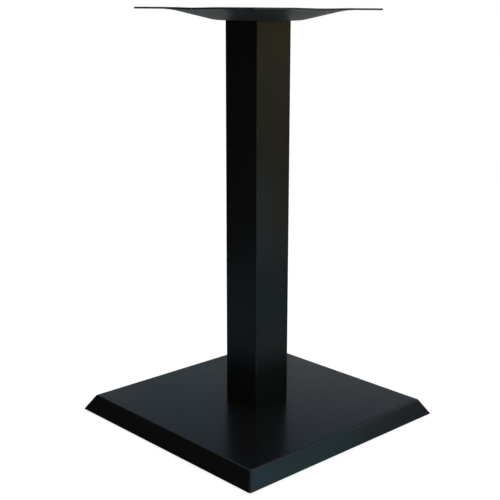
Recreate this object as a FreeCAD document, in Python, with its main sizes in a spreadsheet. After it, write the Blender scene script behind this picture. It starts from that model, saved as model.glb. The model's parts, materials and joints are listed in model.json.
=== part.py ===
import FreeCAD, Part
import os
import re
import Sketcher

# Pedestal table leg: one square column between a weighted base and a dished top plate.
# Millimetres, +Z up. The origin is on the floor, in the middle of the base.

SIZES = {
    # Whole leg
    "overall_height": 720.0,
    "floor_gap": 3.0,
    # Base cover, folded from sheet
    "base_side": 450.0,
    "base_height": 27.0,
    "skirt_run": 16.5,
    "cover_wall": 2.0,
    "cover_edge_radius": 5.0,
    # Column, a square tube
    "column_side": 78.0,
    "column_wall": 1.5,
    "column_corner_radius": 2.0,
    # Top plate with its pressed dish; the dish radii are those of the sharp corners
    "plate_side": 294.0,
    "plate_wall": 3.0,
    "plate_corner_radius": 3.0,
    "dish_rim_radius": 147.0,
    "dish_floor_radius": 71.0,
    "dish_depth": 17.75,
    "dish_rim_bend": 130.0,
    "dish_floor_bend": 85.0,
    "fixing_inset": 22.0,
    "fixing_hole_diameter": 8.5,
    # Ballast, a casting
    "ballast_wall": 8.0,
    "ballast_gap": 4.0,
    "ballast_corner_radius": 12.0,
    "ballast_edge_radius": 1.5,
    "boss_diameter": 26.0,
    "boss_height": 4.0,
    # Pans that centre the tube at both ends
    "locator_wall": 2.5,
    "locator_height": 12.0,
    "locator_clearance": 0.3,
    "locator_corner_radius": 3.5,
    "screw_circle_radius": 27.0,
    "screw_diameter": 6.0,
    "screw_head_diameter": 11.0,
    "screw_head_height": 3.6,
    "screw_head_bevel": 1.4,
    "lower_screw_length": 11.5,
    "upper_screw_length": 9.0,
    # Tie rod with its nuts and washers
    "rod_diameter": 12.0,
    "rod_end_chamfer": 1.0,
    "rod_projection": 1.5,
    "rod_nut_flats": 18.0,
    "rod_nut_height": 10.8,
    "rod_washer_diameter": 37.0,
    "rod_washer_wall": 3.0,
    # Studs under the cover with their nuts and washers
    "stud_diameter": 6.0,
    "stud_inset": 85.0,
    "stud_projection": 1.2,
    "stud_nut_flats": 10.0,
    "stud_nut_height": 5.0,
    "stud_washer_diameter": 18.0,
    "stud_washer_wall": 1.6,
    # Levelling feet
    "foot_inset": 55.0,
    "stem_diameter": 8.0,
    "stem_end_chamfer": 0.8,
    "stem_tip_gap": 1.7,
    "collar_flats": 13.0,
    "collar_height": 4.0,
    "collar_gap": 1.7,
    "neck_diameter": 5.0,
    "ball_diameter": 7.6,
    "ball_height": 5.5,
    "ball_clearance": 0.2,
    "pad_diameter": 34.0,
    "pad_neck_diameter": 16.0,
    "pad_rim_height": 4.0,
    "pad_height": 9.0,
    "pad_mouth_diameter": 6.4,
    "pad_edge_chamfer": 0.8,
    "pad_recess": 0.8,
    "pad_recess_diameter": 24.0,
    # Fits shared by all threads and bolt holes
    "thread_clearance": 0.05,
    "bolt_hole_clearance": 0.5,
}

# Heights that several pieces share
COVER_TOP = "(floor_gap + base_height)"
BALLAST_TOP = f"({COVER_TOP} - cover_wall)"
BALLAST_FLOOR = f"({BALLAST_TOP} - ballast_wall)"
BOSS_FLOOR = f"({BALLAST_FLOOR} - boss_height)"
PLATE_UNDERSIDE = "(overall_height - plate_wall)"
COLUMN_TOP = f"({PLATE_UNDERSIDE} - dish_depth)"
DISH_FLOOR = f"({COLUMN_TOP} + plate_wall)"
COLLAR_TOP = f"({BOSS_FLOOR} - collar_gap)"

# Widths that several pieces share
BALLAST_SIDE = "(base_side - 2 * skirt_run - 2 * cover_wall - 2 * ballast_gap)"
LOCATOR_SIDE = "(column_side - 2 * column_wall - 2 * locator_clearance)"
ROD_HOLE = "(rod_diameter / 2 + bolt_hole_clearance)"
SCREW_HOLE = "(screw_diameter / 2 + bolt_hole_clearance)"
SCREW_TAPPING = "(screw_diameter / 2 + thread_clearance)"
STUD_HOLE = "(stud_diameter / 2 + bolt_hole_clearance)"
STEM_TAPPING = "(stem_diameter / 2 + thread_clearance)"

# Distances of repeated pieces and holes from the middle
SCREW_OFFSET = "(screw_circle_radius * cos(45))"
STUD_OFFSET = "(base_side / 2 - stud_inset)"
FOOT_OFFSET = "(base_side / 2 - foot_inset)"
FIXING_OFFSET = "(plate_side / 2 - fixing_inset)"
FOOT_CORNERS = ((1, -1, -1), (2, 1, -1), (3, 1, 1), (4, -1, 1))

doc = FreeCAD.newDocument("PedestalLeg")
sheet = doc.addObject("Spreadsheet::Sheet", "sizes")
for row, (alias, size) in enumerate(SIZES.items(), start=1):
    sheet.set(f"A{row}", alias.replace("_", " "))
    sheet.set(f"B{row}", str(size))
    sheet.setAlias(f"B{row}", alias)
doc.recompute()
pieces = []


def bound(expression):
    """Point every size in an expression at its cell in the sheet."""
    return re.sub(r"[a-z]+(_[a-z]+)+", r"sizes.\g<0>", expression)


def bind(thing, **sizes):
    """Tie properties of a feature to expressions of the sheet."""
    for name, expression in sizes.items():
        thing.setExpression(name.replace("__", "."), bound(expression))


def new_piece(name, height="0", several=False):
    """Start a piece: its file, its node and its place above the floor."""
    piece = doc.addObject("PartDesign::Body", name)
    piece.Label = name
    piece.AllowCompound = several
    bind(piece, Placement__Base__z=height)
    pieces.append(piece)
    return piece


def own_datum(piece, role):
    """Find one of the piece's own planes, or its upright axis."""
    return next(item for item in piece.Origin.OriginFeatures if item.Role == role)


def new_sketch(piece, name, role="XY_Plane", height="0", across="0"):
    """Put an empty sketch on one of the piece's own planes, shifted up or across it."""
    sketch = piece.newObject("Sketcher::SketchObject", name)
    sketch.AttachmentSupport = (own_datum(piece, role), [""])
    sketch.MapMode = "FlatFace"
    bind(sketch, AttachmentOffset__Base__z=height, AttachmentOffset__Base__x=across)
    return sketch


def hold(sketch, kind, expression, *where):
    """Add a dimension to a sketch and tie it to the sheet."""
    number = sketch.addConstraint(Sketcher.Constraint(kind, *where, 1.0))
    sketch.setExpression(f"Constraints[{number}]", bound(expression))


def hold_point(sketch, line, end, across, up):
    """Fix a point of the sketch by its distances from the origin."""
    for kind, axis, expression in (("DistanceX", -2, across), ("DistanceY", -1, up)):
        if expression == "0":
            sketch.addConstraint(Sketcher.Constraint("PointOnObject", line, end, axis))
        else:
            hold(sketch, kind, expression, -1, 1, line, end)


def polygon(sketch, corners):
    """Close a loop of straight lines through corners that are given as expressions."""
    count = len(corners)
    start = [FreeCAD.Vector(10 + 9 * (i % 2), 10 + i, 0) for i in range(count)]
    lines = [
        sketch.addGeometry(Part.LineSegment(start[i], start[(i + 1) % count])) for i in range(count)
    ]
    for i, line in enumerate(lines):
        following = lines[(i + 1) % count]
        sketch.addConstraint(Sketcher.Constraint("Coincident", line, 2, following, 1))
        hold_point(sketch, line, 1, *corners[i])


def square(sketch, side):
    """Draw a square about the origin."""
    half = f"{side} / 2"
    polygon(sketch, [(f"-{half}", f"-{half}"), (half, f"-{half}"), (half, half), (f"-{half}", half)])


def hexagon(sketch, flats):
    """Draw a hexagon about the origin, with two corners on the up axis."""
    half, side = f"{flats} / 2", f"{flats} / sqrt(3)"
    corners = [("0", side), (f"-{half}", f"{side} / 2"), (f"-{half}", f"-{side} / 2")]
    corners += [("0", f"-{side}"), (half, f"-{side} / 2"), (half, f"{side} / 2")]
    polygon(sketch, corners)


def circle(sketch, radius, across="0", up="0"):
    """Draw a circle."""
    start = FreeCAD.Vector(1, 1, 0)
    number = sketch.addGeometry(Part.Circle(start, FreeCAD.Vector(0, 0, 1), 1.0))
    hold(sketch, "Radius", radius, number)
    hold_point(sketch, number, 3, across, up)


def pad(piece, sketch, length, taper="0", down=False):
    """Raise a sketch into a solid."""
    solid = piece.newObject("PartDesign::Pad", sketch.Name + "_pad")
    solid.Profile = sketch
    solid.Reversed = down
    bind(solid, Length=length, TaperAngle=taper)
    return solid


def sink(piece, sketch, depth, taper="0"):
    """Cut a sketch up into the piece from its own plane."""
    before = piece.Shape.Volume
    cut = piece.newObject("PartDesign::Pocket", sketch.Name + "_sunk")
    cut.Profile = sketch
    cut.Reversed = True
    bind(cut, Length=depth, TaperAngle=taper)
    doc.recompute()
    assert piece.Shape.Volume < before, sketch.Name
    return cut


def pocket(piece, sketch):
    """Cut a sketch right through the piece, both ways from its plane."""
    before = piece.Shape.Volume
    cut = piece.newObject("PartDesign::Pocket", sketch.Name + "_cut")
    cut.Profile = sketch
    cut.Type = "ThroughAll"
    cut.Midplane = True
    doc.recompute()
    assert piece.Shape.Volume < before, sketch.Name
    return cut


def turn(piece, sketch, cutting=False):
    """Turn a profile a full turn about the piece's upright axis."""
    kind = "Groove" if cutting else "Revolution"
    before = piece.Shape.Volume if cutting else 0.0
    solid = piece.newObject(f"PartDesign::{kind}", sketch.Name + "_turned")
    solid.Profile = sketch
    solid.ReferenceAxis = (sketch, ["V_Axis"])
    solid.Angle = 360.0
    doc.recompute()
    assert not cutting or piece.Shape.Volume < before, sketch.Name
    return solid


def ring(piece, *features, count=4):
    """Repeat features evenly about the piece's upright axis."""
    pattern = piece.newObject("PartDesign::PolarPattern", features[0].Name + "_ring")
    pattern.Originals = list(features)
    pattern.Axis = (own_datum(piece, "Z_Axis"), [""])
    pattern.Angle = 360.0
    pattern.Occurrences = count
    piece.Tip = pattern
    doc.recompute()


def edges_where(shape, test):
    """Name the edges of a shape that pass a test."""
    return [f"Edge{i}" for i, edge in enumerate(shape.Edges, start=1) if test(edge)]


def round_off(piece, size, test, kind="Fillet"):
    """Round or chamfer the edges that pass a test."""
    doc.recompute()
    base = piece.Tip
    finish = piece.newObject(f"PartDesign::{kind}", f"{piece.Name}_{kind.lower()}")
    finish.Base = (base, edges_where(base.Shape, test))
    bind(finish, **{"Radius" if kind == "Fillet" else "Size": size})
    doc.recompute()
    return finish


def upright(edge):
    """Tell whether an edge is a straight line along Z."""
    direction = edge.Vertexes[-1].Point - edge.Vertexes[0].Point
    return direction.Length > 0 and abs(direction.z) > 0.999 * direction.Length


def level_at(height):
    """Make a test for edges that lie flat at one height."""
    return lambda edge: all(abs(point.Z - height) < 1e-4 for point in edge.Vertexes)


def reaching(height):
    """Make a test for edges whose highest point is at one height."""
    return lambda edge: abs(max(point.Z for point in edge.Vertexes) - height) < 1e-4


def hollow(piece, wall, open_height):
    """Leave a wall of sheet under the skin of a solid, open at the faces at one height."""
    doc.recompute()
    base = piece.Tip
    faces = [
        f"Face{i}" for i, face in enumerate(base.Shape.Faces, start=1)
        if abs(face.BoundBox.ZMax - open_height) < 1e-4 and face.BoundBox.ZLength < 1e-4
    ]
    shell = piece.newObject("PartDesign::Thickness", piece.Name + "_shell")
    shell.Base = (base, faces)
    shell.Reversed = True
    bind(shell, Value=wall)
    doc.recompute()
    return shell


def make_base_cover():
    """Fold the cover: flat top, skirt that leans out to a sharp lower edge, all bends rounded."""
    piece = new_piece("base_cover", "floor_gap")
    lean = "-atan(skirt_run / base_height)"
    outline = new_sketch(piece, "cover_outline")
    square(outline, "base_side")
    pad(piece, outline, "base_height", lean)
    round_off(piece, "cover_edge_radius", lambda edge: not level_at(0.0)(edge))
    inside = new_sketch(piece, "cover_inside")
    square(inside, "(base_side - 2 * cover_wall * sqrt(1 + (skirt_run / base_height)^2))")
    sink(piece, inside, "base_height - cover_wall", lean)
    ceiling = SIZES["base_height"] - SIZES["cover_wall"]
    round_off(piece, "cover_edge_radius - cover_wall", reaching(ceiling))
    rod_hole = new_sketch(piece, "cover_rod_hole")
    circle(rod_hole, ROD_HOLE)
    pocket(piece, rod_hole)
    screw_hole = new_sketch(piece, "cover_screw_hole")
    circle(screw_hole, SCREW_HOLE, SCREW_OFFSET, SCREW_OFFSET)
    ring(piece, pocket(piece, screw_hole))


def make_base_ballast():
    """Cast the weight: a plate under the cover with a boss for each foot."""
    piece = new_piece("base_ballast", BALLAST_FLOOR)
    outline = new_sketch(piece, "ballast_outline")
    square(outline, BALLAST_SIDE)
    pad(piece, outline, "ballast_wall")
    round_off(piece, "ballast_corner_radius", upright)
    round_off(piece, "ballast_edge_radius", level_at(0.0))
    boss = new_sketch(piece, "ballast_boss")
    circle(boss, "boss_diameter / 2", FOOT_OFFSET, FOOT_OFFSET)
    ring(piece, pad(piece, boss, "boss_height", down=True))
    middle = new_sketch(piece, "ballast_rod_hole")
    circle(middle, ROD_HOLE)
    pocket(piece, middle)
    holes = (
        ("ballast_foot_thread", STEM_TAPPING, FOOT_OFFSET, FOOT_OFFSET),
        ("ballast_screw_thread", SCREW_TAPPING, SCREW_OFFSET, SCREW_OFFSET),
        ("ballast_stud_hole", STUD_HOLE, STUD_OFFSET, "0"),
    )
    for name, radius, across, up in holes:
        hole = new_sketch(piece, name)
        circle(hole, radius, across, up)
        ring(piece, pocket(piece, hole))


def make_column_tube():
    """Draw the square tube that stands between the cover and the dish."""
    piece = new_piece("column_tube", COVER_TOP)
    section = new_sketch(piece, "tube_section")
    square(section, "column_side")
    pad(piece, section, f"{COLUMN_TOP} - {COVER_TOP}")
    round_off(piece, "column_corner_radius", upright)
    bore = new_sketch(piece, "tube_bore")
    square(bore, "(column_side - 2 * column_wall)")
    pocket(piece, bore)
    half_bore = SIZES["column_side"] / 2 - SIZES["column_wall"]
    round_off(
        piece,
        "column_corner_radius - column_wall",
        lambda edge: upright(edge) and abs(abs(edge.Vertexes[0].X) - half_bore) < 1e-4,
    )


def make_locator(name, height, upside_down, hole):
    """Press a square pan that fits the tube; its flat floor faces the base or the plate."""
    piece = new_piece(name, height)
    outline = new_sketch(piece, name + "_outline")
    square(outline, LOCATOR_SIDE)
    pad(piece, outline, "locator_height", down=upside_down)
    open_height = -SIZES["locator_height"] if upside_down else SIZES["locator_height"]
    round_off(piece, "locator_corner_radius", lambda edge: not level_at(open_height)(edge))
    hollow(piece, "locator_wall", open_height)
    middle = new_sketch(piece, name + "_rod_hole")
    circle(middle, ROD_HOLE)
    pocket(piece, middle)
    corner = new_sketch(piece, name + "_screw_hole")
    circle(corner, hole, SCREW_OFFSET, SCREW_OFFSET)
    ring(piece, pocket(piece, corner))


def make_screws(name, height, length):
    """Turn a pan-head screw and set four of them on the diagonals."""
    piece = new_piece(name, height, several=True)
    profile = new_sketch(piece, name + "_profile", "XZ_Plane", across="screw_circle_radius")
    shank, head = "screw_diameter / 2", "screw_head_diameter / 2"
    corners = [("0", f"-{length}"), (shank, f"-{length}"), (shank, "0"), (head, "0")]
    corners += [(head, "screw_head_height - screw_head_bevel")]
    corners += [(f"{head} - screw_head_bevel", "screw_head_height"), ("0", "screw_head_height")]
    polygon(profile, corners)
    ring(piece, turn(piece, profile))
    bind(piece, Placement__Rotation__Angle="45")


def make_washers(name, height, size, hole, circle_radius="0"):
    """Cut flat washers: one on the rod, or four on a circle."""
    several = circle_radius != "0"
    piece = new_piece(name, height, several)
    outline = new_sketch(piece, name + "_outline", across=circle_radius)
    circle(outline, f"{size}_washer_diameter / 2")
    circle(outline, hole)
    disc = pad(piece, outline, f"{size}_washer_wall")
    if several:
        ring(piece, disc)


def make_nuts(name, height, size, circle_radius="0"):
    """Make hexagon nuts with both faces chamfered to a cone: one, or four on a circle."""
    several = circle_radius != "0"
    piece = new_piece(name, height, several)
    outline = new_sketch(piece, name + "_outline", across=circle_radius)
    flats, tall = f"{size}_nut_flats", f"{size}_nut_height"
    hexagon(outline, flats)
    circle(outline, f"({size}_diameter / 2 + thread_clearance)")
    block = pad(piece, outline, tall)
    doc.recompute()
    cones = new_sketch(piece, name + "_cones", "XZ_Plane", across=circle_radius)
    inner, outer = f"{flats} / 2 * 0.97", f"{flats} * 0.7"
    drop = f"({outer} - {inner}) * tan(30)"
    polygon(cones, [(inner, tall), (outer, f"{tall} - {drop}"), (outer, tall)])
    polygon(cones, [(inner, "0"), (outer, "0"), (outer, drop)])
    chamfer = turn(piece, cones, cutting=True)
    if several:
        ring(piece, block, chamfer)


def make_tie_rod():
    """Cut the rod that reaches through both nuts and ends just beyond them."""
    foot = f"({BALLAST_FLOOR} - rod_washer_wall - rod_nut_height - rod_projection)"
    head = f"({DISH_FLOOR} + rod_washer_wall + rod_nut_height + rod_projection)"
    piece = new_piece("tie_rod", foot)
    section = new_sketch(piece, "rod_section")
    circle(section, "rod_diameter / 2")
    pad(piece, section, f"{head} - {foot}")
    round_off(piece, "rod_end_chamfer", lambda edge: not upright(edge), "Chamfer")


def make_cover_studs():
    """Cut the four studs that are welded under the cover."""
    piece = new_piece("cover_studs", BALLAST_TOP, several=True)
    section = new_sketch(piece, "stud_section", across=STUD_OFFSET)
    circle(section, "stud_diameter / 2")
    length = "ballast_wall + stud_washer_wall + stud_nut_height + stud_projection"
    ring(piece, pad(piece, section, length, down=True))


def make_top_plate():
    """Press the dish into a round blank, trim it square and pierce it."""
    piece = new_piece("top_plate", PLATE_UNDERSIDE)
    slope = "atan(dish_depth / (dish_rim_radius - dish_floor_radius))"
    shift = f"plate_wall * tan({slope} / 2)"
    profile = new_sketch(piece, "plate_profile", "XZ_Plane")
    under = [("0", "-dish_depth"), ("dish_floor_radius", "-dish_depth"), ("dish_rim_radius", "0")]
    over = [(f"dish_rim_radius - {shift}", "plate_wall")]
    over += [(f"dish_floor_radius - {shift}", "plate_wall - dish_depth")]
    over += [("0", "plate_wall - dish_depth")]
    polygon(profile, under + [("plate_side", "0"), ("plate_side", "plate_wall")] + over)
    turn(piece, profile)
    floor_under, floor_over = -SIZES["dish_depth"], SIZES["plate_wall"] - SIZES["dish_depth"]
    round_off(piece, "dish_floor_bend", dish_ring(floor_under))
    round_off(piece, "dish_floor_bend - plate_wall", dish_ring(floor_over))
    round_off(piece, "dish_rim_bend", dish_ring(0.0))
    round_off(piece, "dish_rim_bend + plate_wall", dish_ring(SIZES["plate_wall"]))
    trim = new_sketch(piece, "plate_trim")
    square(trim, "plate_side")
    square(trim, "3 * plate_side")
    pocket(piece, trim)
    round_off(piece, "plate_corner_radius", upright)
    holes = (
        ("plate_rod_hole", ROD_HOLE, "0"),
        ("plate_screw_hole", SCREW_HOLE, SCREW_OFFSET),
        ("plate_fixing_hole", "fixing_hole_diameter / 2", FIXING_OFFSET),
    )
    for name, radius, offset in holes:
        hole = new_sketch(piece, name)
        circle(hole, radius, offset, offset)
        cut = pocket(piece, hole)
        if offset != "0":
            ring(piece, cut)


def dish_ring(height):
    """Make a test for the sharp ring of the dish at one height, inside the blank's edge."""
    inside = 0.9 * SIZES["plate_side"]
    return lambda edge: level_at(height)(edge) and edge.Vertexes[0].X < inside


def make_foot_stem(number, across, along):
    """Turn a levelling stem: ball, neck, hexagon collar and threaded shank."""
    piece = new_piece(f"foot_stem_{number}", "0")
    place_foot(piece, across, along)
    tip = f"({BALLAST_TOP} - stem_tip_gap)"
    profile = new_sketch(piece, f"stem_profile_{number}", "XZ_Plane")
    neck, shank = "neck_diameter / 2", "stem_diameter / 2"
    corners = [("0", "ball_height"), (neck, "ball_height"), (neck, COLLAR_TOP), (shank, COLLAR_TOP)]
    corners += [(shank, f"{tip} - stem_end_chamfer"), (f"{shank} - stem_end_chamfer", tip), ("0", tip)]
    polygon(profile, corners)
    turn(piece, profile)
    collar = new_sketch(piece, f"stem_collar_{number}", height=f"{COLLAR_TOP} - collar_height")
    hexagon(collar, "collar_flats")
    pad(piece, collar, "collar_height")
    sphere(piece, "Additive", "ball_diameter / 2")


def make_foot_pad(number, across, along):
    """Mould a foot: broad rim, cone up to a snap mouth, socket for the ball, recessed sole."""
    piece = new_piece(f"foot_pad_{number}", "0")
    place_foot(piece, across, along)
    profile = new_sketch(piece, f"pad_profile_{number}", "XZ_Plane")
    rim, sole, mouth = "pad_diameter / 2", "pad_recess_diameter / 2", "pad_mouth_diameter / 2"
    corners = [("0", "pad_recess"), (sole, "pad_recess"), (f"{sole} + pad_recess", "0")]
    corners += [(f"{rim} - pad_edge_chamfer", "0"), (rim, "pad_edge_chamfer"), (rim, "pad_rim_height")]
    corners += [("pad_neck_diameter / 2", "pad_height"), (f"{mouth} + pad_edge_chamfer", "pad_height")]
    corners += [(mouth, "pad_height - pad_edge_chamfer"), (mouth, "ball_height"), ("0", "ball_height")]
    polygon(profile, corners)
    turn(piece, profile)
    sphere(piece, "Subtractive", "ball_diameter / 2 + ball_clearance")


def sphere(piece, kind, radius):
    """Add or cut the sphere at the height of the foot's ball."""
    ball = piece.newObject(f"PartDesign::{kind}Sphere", piece.Name + "_sphere")
    ball.AttachmentSupport = (own_datum(piece, "XY_Plane"), [""])
    ball.MapMode = "FlatFace"
    bind(ball, Radius=radius, AttachmentOffset__Base__z="ball_height")
    doc.recompute()


def place_foot(piece, across, along):
    """Move a piece of a foot under its corner of the base."""
    bind(piece, Placement__Base__x=f"{across} * {FOOT_OFFSET}")
    bind(piece, Placement__Base__y=f"{along} * {FOOT_OFFSET}")


make_base_cover()
make_base_ballast()
make_column_tube()
make_locator("lower_locator", COVER_TOP, False, SCREW_HOLE)
make_locator("upper_locator", COLUMN_TOP, True, SCREW_TAPPING)
make_screws("lower_locator_screws", f"{COVER_TOP} + locator_wall", "lower_screw_length")
make_screws("upper_locator_screws", DISH_FLOOR, "upper_screw_length")
make_tie_rod()
make_washers("upper_washer", DISH_FLOOR, "rod", ROD_HOLE)
make_nuts("upper_nut", f"{DISH_FLOOR} + rod_washer_wall", "rod")
make_washers("lower_washer", f"{BALLAST_FLOOR} - rod_washer_wall", "rod", ROD_HOLE)
make_nuts("lower_nut", f"{BALLAST_FLOOR} - rod_washer_wall - rod_nut_height", "rod")
make_cover_studs()
stud_washer_foot = f"{BALLAST_FLOOR} - stud_washer_wall"
make_washers("stud_washers", stud_washer_foot, "stud", STUD_HOLE, STUD_OFFSET)
make_nuts("stud_nuts", f"{stud_washer_foot} - stud_nut_height", "stud", STUD_OFFSET)
make_top_plate()
for number, across, along in FOOT_CORNERS:
    make_foot_stem(number, across, along)
    make_foot_pad(number, across, along)

doc.recompute()
for thing in doc.Objects:
    assert not {"Invalid", "Error"} & set(thing.State), (thing.Name, thing.State)
for piece in pieces:
    assert not piece.Shape.isNull() and piece.Shape.isValid(), piece.Label
os.makedirs("parts", exist_ok=True)
for piece in pieces:
    piece.Shape.exportStep(f"parts/{piece.Label}.step")
    print(piece.Label, len(piece.Shape.Solids), "solid,", round(piece.Shape.Volume / 1000, 2), "cm3")
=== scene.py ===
# %% [markdown]
# A square pedestal table leg, dressed around its engineering model.
# The model gives every piece at its real size and place. This lesson gives each of them the
# surface that the real one has: a smooth black powder coat on everything that shows in a room,
# and plain workshop metals where only the fitter looks, in the dish and under the base.
# The first cell loads the model and gives a way to read the box of any of its pieces.

# %% Load the model
import json
import math

import bmesh
import bpy
from mathutils import Matrix, Vector


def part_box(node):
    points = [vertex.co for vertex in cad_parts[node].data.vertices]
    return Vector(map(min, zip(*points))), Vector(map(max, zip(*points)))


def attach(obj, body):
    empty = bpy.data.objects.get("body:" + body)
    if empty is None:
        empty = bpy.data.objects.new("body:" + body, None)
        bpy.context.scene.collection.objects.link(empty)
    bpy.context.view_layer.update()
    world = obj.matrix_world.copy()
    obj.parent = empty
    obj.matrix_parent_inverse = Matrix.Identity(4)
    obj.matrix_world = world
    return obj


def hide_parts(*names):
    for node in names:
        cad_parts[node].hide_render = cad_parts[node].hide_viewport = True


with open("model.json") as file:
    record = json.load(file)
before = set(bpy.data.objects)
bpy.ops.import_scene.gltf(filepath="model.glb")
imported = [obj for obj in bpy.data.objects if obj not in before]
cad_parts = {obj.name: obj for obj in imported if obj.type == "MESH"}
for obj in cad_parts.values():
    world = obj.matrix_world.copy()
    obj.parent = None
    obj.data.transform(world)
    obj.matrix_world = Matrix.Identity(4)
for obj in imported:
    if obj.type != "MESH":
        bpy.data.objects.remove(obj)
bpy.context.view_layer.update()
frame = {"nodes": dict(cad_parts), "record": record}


# %% [markdown]
# The camera stands where the photographer stood: a little below the height of the top plate, so
# that the plate is seen edge-on, and turned so that one corner of the base points almost at it.
# Distance, turn and lens were fitted to the corners and edges in the picture, as a surveyor
# would do it. The lens is given in picture widths, which is how a pinhole camera is measured.

# %% Camera
FRAME_WIDTH_PX = 500
FOCAL_PX = 984.7
PRINCIPAL_X_PX = 270.7
SENSOR_MM = 36.0
CAMERA_DISTANCE = 1.6818
CAMERA_HEIGHT = 0.7179
CAMERA_TURN = math.radians(46.792)
CAMERA_AIM = math.radians(-0.799)
CAMERA_PITCH = math.radians(13.757)
CAMERA_ROLL = math.radians(0.395)


def new_object(name, data):
    """Make an object from its data and put it in the scene."""
    made = bpy.data.objects.new(name, data)
    bpy.context.scene.collection.objects.link(made)
    return made


def look_from(distance, height, turn, aim, pitch, roll):
    """Give the matrix of a camera that stands round the upright axis and looks down a little."""
    place = Vector((distance * math.sin(turn), -distance * math.cos(turn), height))
    heading = math.atan2(-place.y, -place.x) + aim
    level = math.cos(pitch)
    ahead = Vector((math.cos(heading) * level, math.sin(heading) * level, -math.sin(pitch)))
    right = ahead.cross(Vector((0, 0, 1))).normalized()
    up = right.cross(ahead)
    right, up = (
        right * math.cos(roll) + up * math.sin(roll),
        up * math.cos(roll) - right * math.sin(roll),
    )
    axes = Matrix((right, up, -ahead)).transposed().to_4x4()
    return Matrix.Translation(place) @ axes


camera = new_object("camera", bpy.data.cameras.new("camera"))
camera.data.sensor_width = SENSOR_MM
camera.data.lens = SENSOR_MM * FOCAL_PX / FRAME_WIDTH_PX
camera.data.shift_x = (FRAME_WIDTH_PX / 2 - PRINCIPAL_X_PX) / FRAME_WIDTH_PX
camera.matrix_world = look_from(
    CAMERA_DISTANCE, CAMERA_HEIGHT, CAMERA_TURN, CAMERA_AIM, CAMERA_PITCH, CAMERA_ROLL
)
bpy.context.scene.camera = camera
print("lens", round(camera.data.lens, 1), "mm")


# %% [markdown]
# World, floor, finishes and shapes are all made by trees of nodes. A node takes each of its
# values either as a number or by a link from another node, so these helpers accept both, and a
# sum in a tree then reads much like a sum on paper. Every material starts in the same way, with
# one Principled shader.

# %% Helpers for node trees
def connect(tree, term, slot):
    """Give a socket its value: a link from another socket, or a plain value."""
    if isinstance(term, bpy.types.NodeSocket):
        tree.links.new(term, slot)
    else:
        slot.default_value = term


def sum_of(tree, operation, *terms):
    """Add one sum to a tree; each term is a socket or a number."""
    node = tree.nodes.new("ShaderNodeMath")
    node.operation = operation
    for term, slot in zip(terms, node.inputs):
        connect(tree, term, slot)
    return node.outputs[0]


def start_material(name):
    """Start a material and return it with its tree and its shader."""
    material = bpy.data.materials.new(name)
    material.use_nodes = True
    tree = material.node_tree
    return material, tree, tree.nodes["Principled BSDF"]


# %% [markdown]
# A black coat shows almost nothing but what it mirrors, so the surround matters more than the
# lamps. The world is white where the camera, a mirror or glass looks at it, and a little darker
# as a source of light, so that the background stays white without flooding the object.

# %% White surround
bpy.context.scene.view_settings.view_transform = "Standard"
WHITE = (1.0, 1.0, 1.0, 1.0)
WORLD_AS_LAMP = 0.75
WORLD_AS_SEEN = 1.0


def seen_directly(tree, share=1.0):
    """Give a socket that is the share for rays from the camera, a mirror or glass, else 0."""
    path = tree.nodes.new("ShaderNodeLightPath").outputs
    seen = sum_of(tree, "MAXIMUM", path["Is Camera Ray"], path["Is Glossy Ray"])
    seen = sum_of(tree, "MAXIMUM", seen, path["Is Transmission Ray"])
    return sum_of(tree, "MULTIPLY", seen, share)


def make_world():
    """White to look at, softer as a lamp."""
    world = bpy.data.worlds.new("white_studio")
    bpy.context.scene.world = world
    world.use_nodes = True
    tree = world.node_tree
    tree.nodes.clear()
    mix = tree.nodes.new("ShaderNodeMixShader")
    tree.links.new(seen_directly(tree), mix.inputs["Fac"])
    for slot, strength in ((1, WORLD_AS_LAMP), (2, WORLD_AS_SEEN)):
        light = tree.nodes.new("ShaderNodeBackground")
        light.inputs["Color"].default_value = WHITE
        light.inputs["Strength"].default_value = strength
        tree.links.new(light.outputs[0], mix.inputs[slot])
    out = tree.nodes.new("ShaderNodeOutputWorld")
    tree.links.new(mix.outputs[0], out.inputs["Surface"])
    return world


print("surround", make_world().name)


# %% [markdown]
# The floor is a pale matt sheet, so large that its edge is never seen. It keeps a part of the
# base's shadow, which grounds the object, and is white everywhere else, like the cut-out ground
# of a shop picture.

# %% Floor
FLOOR_SIDE = 60.0
FLOOR_TONE = (0.86, 0.86, 0.86, 1.0)
FLOOR_ROUGHNESS = 0.9
FLOOR_WHITE = 1.1
FLOOR_WHITE_SHARE = 0.78


def plain_sheet(name, width, depth, matrix):
    """Make one flat rectangle for the studio."""
    mesh = bpy.data.meshes.new(name)
    half_w, half_d = width / 2, depth / 2
    corners = [(-half_w, -half_d, 0), (half_w, -half_d, 0), (half_w, half_d, 0), (-half_w, half_d, 0)]
    mesh.from_pydata(corners, [], [(0, 1, 2, 3)])
    sheet = new_object(name, mesh)
    sheet.matrix_world = matrix
    return sheet


def make_floor():
    """Lay a pale floor that shows a soft shadow and is white elsewhere."""
    floor = plain_sheet("floor", FLOOR_SIDE, FLOOR_SIDE, Matrix.Identity(4))
    paint, tree, shader = start_material("pale_floor")
    shader.inputs["Base Color"].default_value = FLOOR_TONE
    shader.inputs["Roughness"].default_value = FLOOR_ROUGHNESS
    shader.inputs["Specular IOR Level"].default_value = 0.0
    white = tree.nodes.new("ShaderNodeEmission")
    white.inputs["Strength"].default_value = FLOOR_WHITE
    mix = tree.nodes.new("ShaderNodeMixShader")
    tree.links.new(seen_directly(tree, FLOOR_WHITE_SHARE), mix.inputs["Fac"])
    tree.links.new(shader.outputs[0], mix.inputs[1])
    tree.links.new(white.outputs[0], mix.inputs[2])
    tree.links.new(mix.outputs[0], tree.nodes["Material Output"].inputs["Surface"])
    floor.data.materials.append(paint)
    return floor


print("floor", make_floor().name)


# %% [markdown]
# Two large soft lamps light the leg: one over the right shoulder, which makes the right side of
# the base a little paler, and one overhead, which reaches the plate and the top of the base.
# Large lamps near the object give soft shadows, as a window or a softbox does.

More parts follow.
